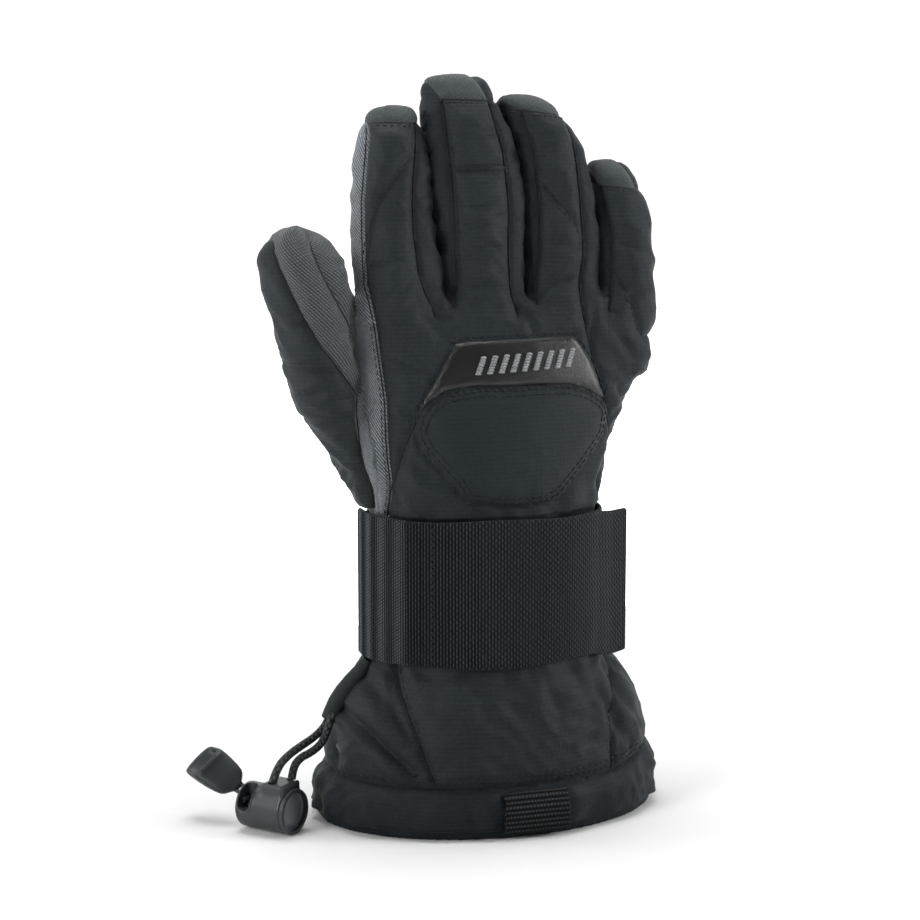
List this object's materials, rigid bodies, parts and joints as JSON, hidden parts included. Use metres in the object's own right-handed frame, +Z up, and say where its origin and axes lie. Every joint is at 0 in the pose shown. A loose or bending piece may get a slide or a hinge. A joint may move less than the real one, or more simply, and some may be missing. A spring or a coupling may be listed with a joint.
{
  "type": "snowboard glove with built-in wrist guard",
  "caption": "Insulated five-finger snow glove with wrist splints, webbing wrist strap, flared gauntlet, drawcord with push-button cord lock and a hem loop.",
  "frame": {"origin": "on the surface that the glove stands on, below the middle of the glove's box (the free cord and its lock left out)", "axes": "+Z up along the fingers, -Y out of the back of the hand, -X towards the thumb"},
  "size_m": [0.1786, 0.0939, 0.272],
  "materials": {
    "shell_fabric": "woven ripstop, matt",
    "palm_fabric": "textured twill, matt",
    "cap_fabric": "embossed, matt",
    "patch_leather": "smooth semi-gloss",
    "pad_fabric": "woven ripstop, padded",
    "fill": "soft batting",
    "fleece": "brushed fleece",
    "splint_plastic": "moulded",
    "webbing": "ribbed webbing",
    "touch_fastener": "hook and loop",
    "cord_braid": "braided",
    "guide_trim": "bound edge",
    "lock_plastic": "moulded satin",
    "button_plastic": "moulded satin",
    "tab_plastic": "moulded soft plastic",
    "spring_steel": "wire"
  },
  "bodies": {
    "glove": {"back_panel": "shell_fabric", "palm_panel": "palm_fabric", "index_side_strip": "palm_fabric", "outer_side_panel": "shell_fabric", "thumb_gusset": "palm_fabric", "hand_insulation": "fill", "hand_lining": "fleece", "knuckle_patch": "patch_leather", "wrist_pad": "pad_fabric", "dorsal_splint": "splint_plastic", "palmar_splint": "splint_plastic", "gauntlet_back": "shell_fabric", "gauntlet_palm": "shell_fabric", "gauntlet_thumb_side": "shell_fabric", "gauntlet_outer_side": "shell_fabric", "gauntlet_lining": "fleece", "hem_binding": "shell_fabric", "cinch_cord": "cord_braid", "cord_guide": "guide_trim", "strap_base_band": "webbing", "strap_loop_patch": "touch_fastener", "drawcord_long": "cord_braid", "drawcord_short": "cord_braid"},
    "wrist_strap": {"wrist_strap": "webbing", "strap_hook_patch": "touch_fastener", "strap_folded_end": "webbing"},
    "hem_loop": {"hem_loop": "webbing"},
    "thumb": {"thumb_back": "shell_fabric", "thumb_palm": "palm_fabric", "thumb_lining": "fleece"},
    "cord_lock": {"lock_barrel": "lock_plastic", "slot_bar": "lock_plastic", "lock_end_ring": "lock_plastic", "lock_spring": "spring_steel"},
    "lock_button": {"lock_button": "button_plastic"},
    "pull_tab": {"pull_tab": "tab_plastic"},
    "index_finger": {"index_back": "shell_fabric", "index_palm": "palm_fabric", "index_side_panels": "shell_fabric", "index_tip_cap": "cap_fabric", "index_lining": "fleece"},
    "middle_finger": {"middle_back": "shell_fabric", "middle_palm": "palm_fabric", "middle_side_panels": "shell_fabric", "middle_tip_cap": "cap_fabric", "middle_lining": "fleece"},
    "ring_finger": {"ring_back": "shell_fabric", "ring_palm": "palm_fabric", "ring_side_panels": "shell_fabric", "ring_tip_cap": "cap_fabric", "ring_lining": "fleece"},
    "little_finger": {"little_back": "shell_fabric", "little_palm": "palm_fabric", "little_side_panels": "shell_fabric", "little_tip_cap": "cap_fabric", "little_lining": "fleece"}
  },
  "joints": [
    {"name": "index_flex", "type": "hinge", "parent": "glove", "child": "index_finger", "pos_m": [-0.02425, 0.00345, 0.186], "axis": [-1, 0, 0], "range_deg": [0, 55]},
    {"name": "middle_flex", "type": "hinge", "parent": "glove", "child": "middle_finger", "pos_m": [0.00695, 0.00345, 0.186], "axis": [-1, 0, 0], "range_deg": [0, 55]},
    {"name": "ring_flex", "type": "hinge", "parent": "glove", "child": "ring_finger", "pos_m": [0.03715, 0.00345, 0.186], "axis": [-1, 0, 0], "range_deg": [0, 55]},
    {"name": "little_flex", "type": "hinge", "parent": "glove", "child": "little_finger", "pos_m": [0.06325, 0.00345, 0.178], "axis": [-1, 0, 0], "range_deg": [0, 55]},
    {"name": "thumb_swing", "type": "hinge", "parent": "glove", "child": "thumb", "pos_m": [-0.04505, 0.00495, 0.16], "axis": [0, -1, 0], "range_deg": [0, 30]},
    {"name": "strap_open", "type": "hinge", "parent": "glove", "child": "wrist_strap", "pos_m": [-0.0387, 0.00639, 0.0878], "axis": [0, 0, -1], "range_deg": [0, 100]},
    {"name": "hem_loop_swing", "type": "hinge", "parent": "glove", "child": "hem_loop", "pos_m": [0.01055, -0.04495, 0.0218], "axis": [-1, 0, 0], "range_deg": [0, 105]},
    {"name": "lock_slide", "type": "slide", "parent": "glove", "child": "cord_lock", "axis": [0.6222, 0.3011, 0.7226], "range_m": [0, 0.012], "deforming": ["drawcord_long", "drawcord_short"]},
    {"name": "button_press", "type": "slide", "parent": "cord_lock", "child": "lock_button", "axis": [-0.6523, 0.758, 0], "range_m": [0, 0.003], "stiffness_N_per_m": 900, "springref_m": -0.001, "deforming": ["lock_spring"]},
    {"name": "tab_swing", "type": "hinge", "parent": "cord_lock", "child": "pull_tab", "pos_m": [-0.08249, 0.00018, 0.011], "axis": [0.758, 0.6523, 0], "range_deg": [-18, 40]}
  ]
}
